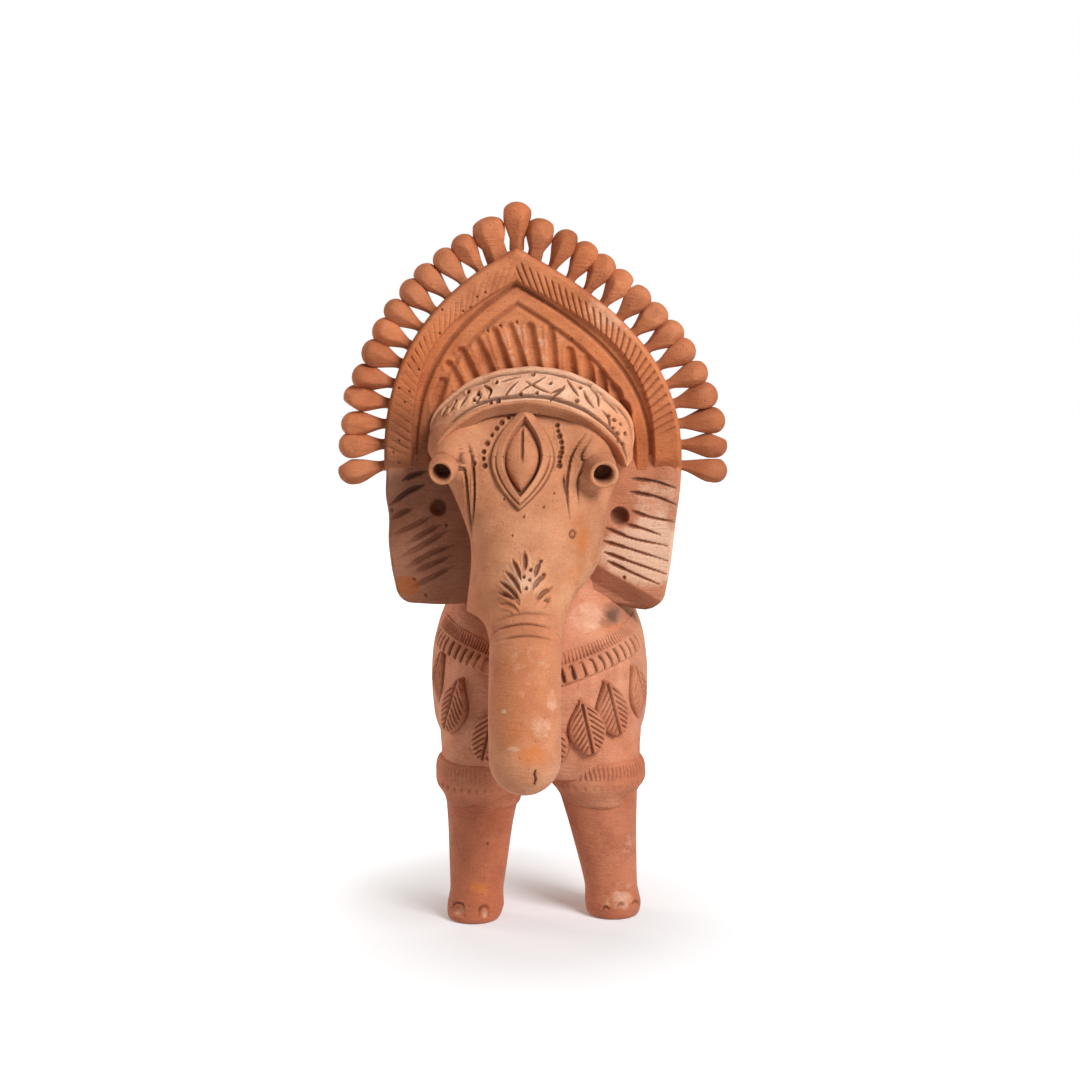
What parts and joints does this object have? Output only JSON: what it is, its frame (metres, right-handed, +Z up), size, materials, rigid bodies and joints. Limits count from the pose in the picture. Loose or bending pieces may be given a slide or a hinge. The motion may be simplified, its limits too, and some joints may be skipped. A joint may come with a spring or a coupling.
{
  "type": "terracotta elephant figurine",
  "caption": "Hand-built terracotta elephant standing on column legs, with a pointed crown fringed by clubs, tube eyes, slab ears, a hanging trunk and a leaf garland.",
  "frame": {"origin": "centre of the bounding box at the level of the soles", "axes": "+Z up, the elephant faces -Y, +X is the elephant's own left"},
  "size_m": [0.1652, 0.199, 0.2976],
  "materials": {
    "terracotta": "unglazed low-fired clay, matte",
    "terracotta_pale": "unglazed low-fired clay, fired paler, matte",
    "terracotta_red": "unglazed low-fired clay, fired redder, matte",
    "terracotta_orange": "unglazed low-fired clay, rubbed smooth, slight sheen"
  },
  "bodies": {
    "root": {"body_barrel": "terracotta", "neck_collar": "terracotta", "crown_rim": "terracotta", "necklace_band": "terracotta", "tail": "terracotta", "eye_tube_left": "terracotta", "ear_left": "terracotta", "front_leg_ring_left": "terracotta", "rear_leg_ring_left": "terracotta", "front_leg_left": "terracotta_red", "rear_leg_left": "terracotta_red", "eye_tube_right": "terracotta", "ear_right": "terracotta", "front_leg_ring_right": "terracotta", "rear_leg_ring_right": "terracotta", "front_leg_right": "terracotta_red", "rear_leg_right": "terracotta_red", "crown_plate": "terracotta_red", "trunk": "terracotta_orange", "head_shell": "terracotta_pale", "headband": "terracotta_pale", "brow_roll": "terracotta_pale", "forehead_lozenge": "terracotta_pale", "forehead_bud": "terracotta_pale", "crown_club_01": "terracotta_pale", "crown_club_02": "terracotta_pale", "crown_club_03": "terracotta_pale", "crown_club_04": "terracotta_pale", "crown_club_05": "terracotta_pale", "crown_club_06": "terracotta_pale", "crown_club_07": "terracotta_pale", "crown_club_08": "terracotta_pale", "crown_club_09": "terracotta_pale", "crown_club_10": "terracotta_pale", "crown_club_11": "terracotta_pale", "crown_club_12": "terracotta_pale", "crown_club_13": "terracotta_pale", "crown_club_14": "terracotta_pale", "crown_club_15": "terracotta_pale", "crown_club_16": "terracotta_pale", "crown_club_17": "terracotta_pale", "crown_club_18": "terracotta_pale", "crown_club_19": "terracotta_pale", "crown_club_20": "terracotta_pale", "crown_club_21": "terracotta_pale", "crown_club_22": "terracotta_pale", "crown_club_23": "terracotta_pale", "crown_club_24": "terracotta_pale", "crown_club_25": "terracotta_pale", "crown_club_26": "terracotta_pale", "crown_club_27": "terracotta_pale", "crown_club_28": "terracotta_pale", "garland_leaf_1": "terracotta_pale", "garland_leaf_2": "terracotta_pale", "garland_leaf_3": "terracotta_pale", "garland_leaf_4": "terracotta_pale", "garland_leaf_5": "terracotta_pale", "garland_leaf_6": "terracotta_pale", "garland_leaf_7": "terracotta_pale", "garland_leaf_8": "terracotta_pale"}
  },
  "joints": []
}
